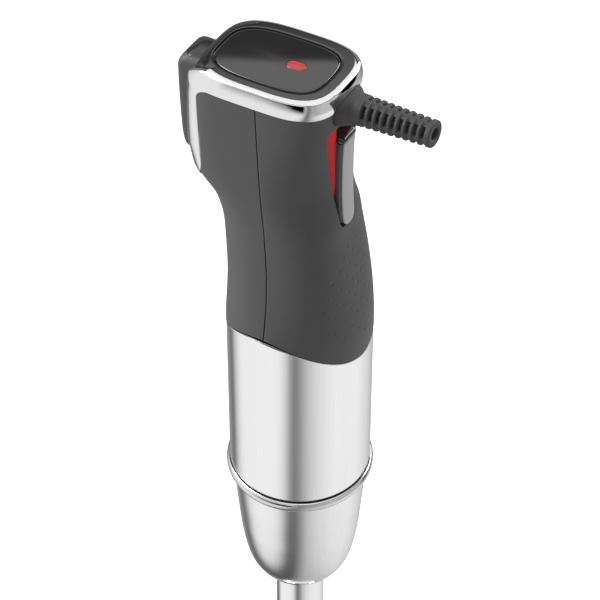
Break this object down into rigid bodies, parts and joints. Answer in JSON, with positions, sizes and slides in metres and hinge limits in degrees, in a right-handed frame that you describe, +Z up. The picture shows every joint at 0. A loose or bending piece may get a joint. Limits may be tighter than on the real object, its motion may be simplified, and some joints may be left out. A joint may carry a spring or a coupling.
{
  "type": "hand blender",
  "caption": "Hand blender with a leaning grip, squeeze trigger, thumb button and chrome-trimmed head on a detachable steel blending leg with a bladed bell.",
  "frame": {"origin": "middle of the footprint on the surface that the bell's rim stands on; the drive axis is 3.9 mm toward the front (-X) of it", "axes": "+Z up along the drive axis, +X toward the back with the trigger and the cord outlet, -X toward the thumb button, mirror symmetric about Y = 0"},
  "size_m": [0.1078, 0.068, 0.4265],
  "materials": {
    "soft_touch_grey": "matte soft-touch coating",
    "gloss_black": "high gloss",
    "chrome": "mirror chrome plating",
    "brushed_steel": "fine vertical brushing",
    "polished_steel": "polished",
    "light_grey_plastic": "satin",
    "dark_plastic": "satin",
    "red_plastic": "satin",
    "indicator_red": "clear gloss",
    "natural_plastic": "as moulded",
    "steel_laminations": "stacked electrical sheet",
    "copper": "enamelled wire",
    "brass": "stamped or sintered",
    "carbon": "matte",
    "circuit_board": "solder mask",
    "seal_rubber": "matte"
  },
  "bodies": {
    "blending_leg": {"bead_ring": "polished_steel", "leg_neck": "brushed_steel", "leg_collar": "dark_plastic", "upper_bush": "brass", "shaft_tube": "brushed_steel", "shaft_seal": "seal_rubber", "lower_bush": "brass", "bell_guard": "brushed_steel"},
    "blade_shaft": {"drive_shaft": "polished_steel", "shaft_coupler": "dark_plastic", "blade": "polished_steel", "blade_nut": "polished_steel", "blade_hub": "dark_plastic"},
    "motor_unit": {"chrome_trim": "chrome", "top_panel": "gloss_black", "panel_window": "gloss_black", "indicator_lens": "indicator_red", "strain_relief": "soft_touch_grey", "front_shell": "soft_touch_grey", "rear_grip": "soft_touch_grey", "trigger_pin": "polished_steel", "inner_frame": "natural_plastic", "trigger_switch": "dark_plastic", "control_board": "circuit_board", "noise_capacitor": "light_grey_plastic", "triac_heat_sink": "steel_laminations", "indicator_board": "circuit_board", "light_guide": "natural_plastic", "trigger_spring": "polished_steel", "button_spring": "polished_steel", "steel_sleeve": "brushed_steel", "leg_socket": "dark_plastic", "lower_bracket": "dark_plastic", "lower_bearing": "polished_steel", "stator_core": "steel_laminations", "field_coil_rear": "copper", "field_coil_front": "copper", "upper_bracket": "dark_plastic", "upper_bearing": "polished_steel", "tie_screw_rear": "polished_steel", "tie_screw_front": "polished_steel", "brush_holder_left": "brass", "carbon_brush_left": "carbon", "brush_holder_right": "brass", "carbon_brush_right": "carbon"},
    "rotor": {"motor_shaft": "polished_steel", "armature": "copper", "commutator": "copper", "cooling_fan": "natural_plastic", "drive_coupling": "natural_plastic"},
    "trigger": {"trigger_lever": "dark_plastic", "trigger_face": "light_grey_plastic", "trigger_cap": "gloss_black", "trigger_skirt": "red_plastic"},
    "button": {"thumb_button": "dark_plastic", "button_cap": "gloss_black"}
  },
  "joints": [
    {"name": "leg_release", "type": "slide", "parent": "blending_leg", "child": "motor_unit", "axis": [0, 0, 1], "range_m": [0, 0.045]},
    {"name": "motor_spin", "type": "hinge", "parent": "motor_unit", "child": "rotor", "pos_m": [-0.0039, 0, 0.27], "axis": [0, 0, 1], "continuous": true},
    {"name": "blade_spin", "type": "hinge", "parent": "blending_leg", "child": "blade_shaft", "pos_m": [-0.0039, 0, 0.1], "axis": [0, 0, 1], "continuous": true},
    {"name": "trigger_squeeze", "type": "hinge", "parent": "motor_unit", "child": "trigger", "pos_m": [0.0101, 0, 0.362], "axis": [0, -1, 0], "range_deg": [0, 6], "stiffness_Nm_per_rad": 0.8, "springref_deg": -3.44, "deforming": ["trigger_spring"]},
    {"name": "button_press", "type": "slide", "parent": "motor_unit", "child": "button", "axis": [1, 0, 0], "range_m": [0, 0.0025], "stiffness_N_per_m": 1200, "springref_m": -0.0015, "deforming": ["button_spring"]}
  ],
  "couplings": [
    {"joint": "blade_spin", "follows": "motor_spin", "ratio": 1}
  ]
}
